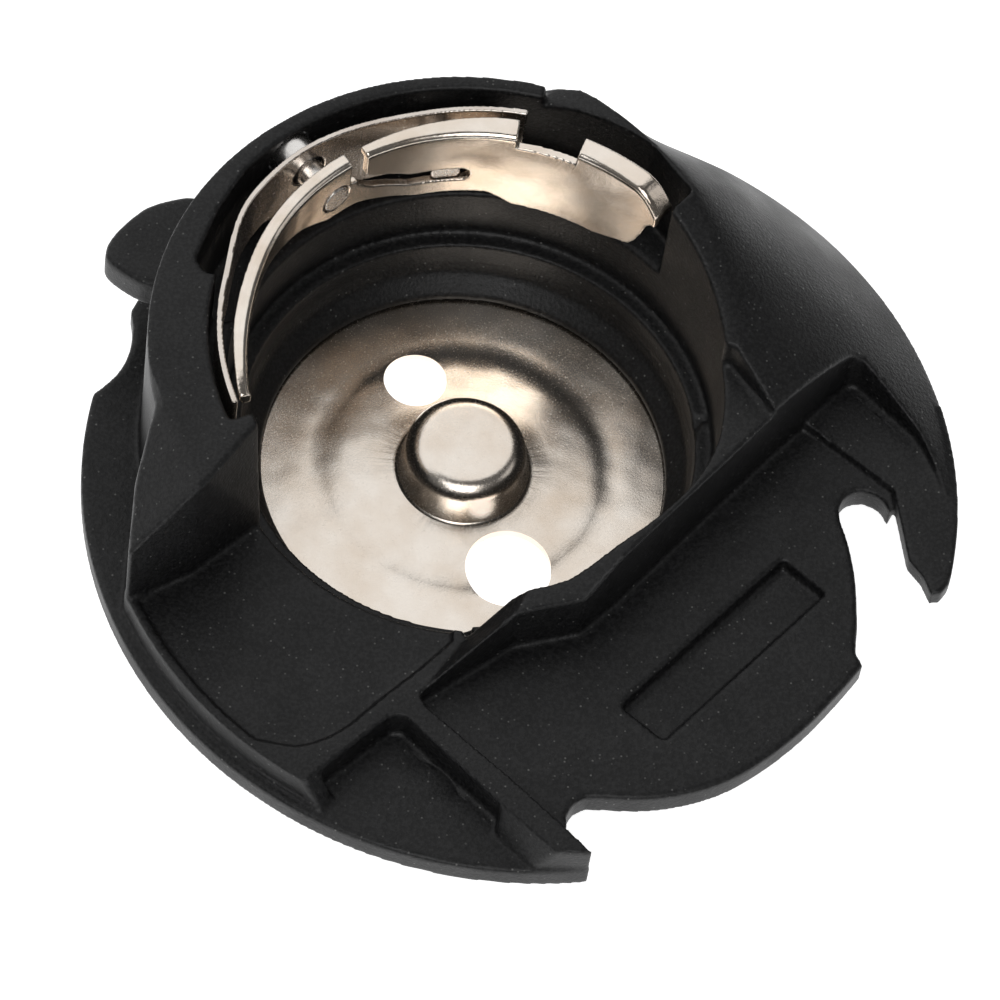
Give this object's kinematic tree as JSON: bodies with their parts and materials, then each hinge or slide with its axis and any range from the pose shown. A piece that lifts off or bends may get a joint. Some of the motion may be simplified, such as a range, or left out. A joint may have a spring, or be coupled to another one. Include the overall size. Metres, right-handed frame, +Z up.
{
  "type": "bobbin case",
  "caption": "Drop-in bobbin case: an open moulded well with a metal floor and centre post, a stepped rim around it, and a curved steel tension leaf behind its wall.",
  "frame": {"origin": "centre of the outline at the level of the barrel's foot, on the surface that the case stands on", "axes": "+Z up along the bobbin's axis out of the open well, +Y towards the tension leaf, +X towards the thumb-shaped cam"},
  "size_m": [0.044, 0.0436, 0.0142],
  "materials": {
    "moulding": "fine matte moulding",
    "nickel_plate": "warm satin nickel",
    "nickel_bracket": "warm satin nickel",
    "spring_steel": "rolled spring strip",
    "screw_steel": "turned and plated"
  },
  "bodies": {
    "case": {"case_body": "moulding", "base_plate": "nickel_plate", "tension_bracket": "nickel_bracket", "fixing_screw": "screw_steel"},
    "leaf": {"tension_spring": "spring_steel"},
    "adjuster": {"tension_screw": "screw_steel"}
  },
  "joints": [
    {"name": "leaf_flex", "type": "hinge", "parent": "case", "child": "leaf", "pos_m": [-0.00666, 0.01506, 0.0108], "axis": [0, 0, -1], "range_deg": [0, 0.6], "stiffness_Nm_per_rad": 0.3, "springref_deg": -1.15},
    {"name": "tension_screw_turn", "type": "hinge", "parent": "case", "child": "adjuster", "pos_m": [-0.01264, 0.01123, 0.0119], "axis": [-0.7604, 0.6494, 0], "range_deg": [-180, 180]}
  ]
}
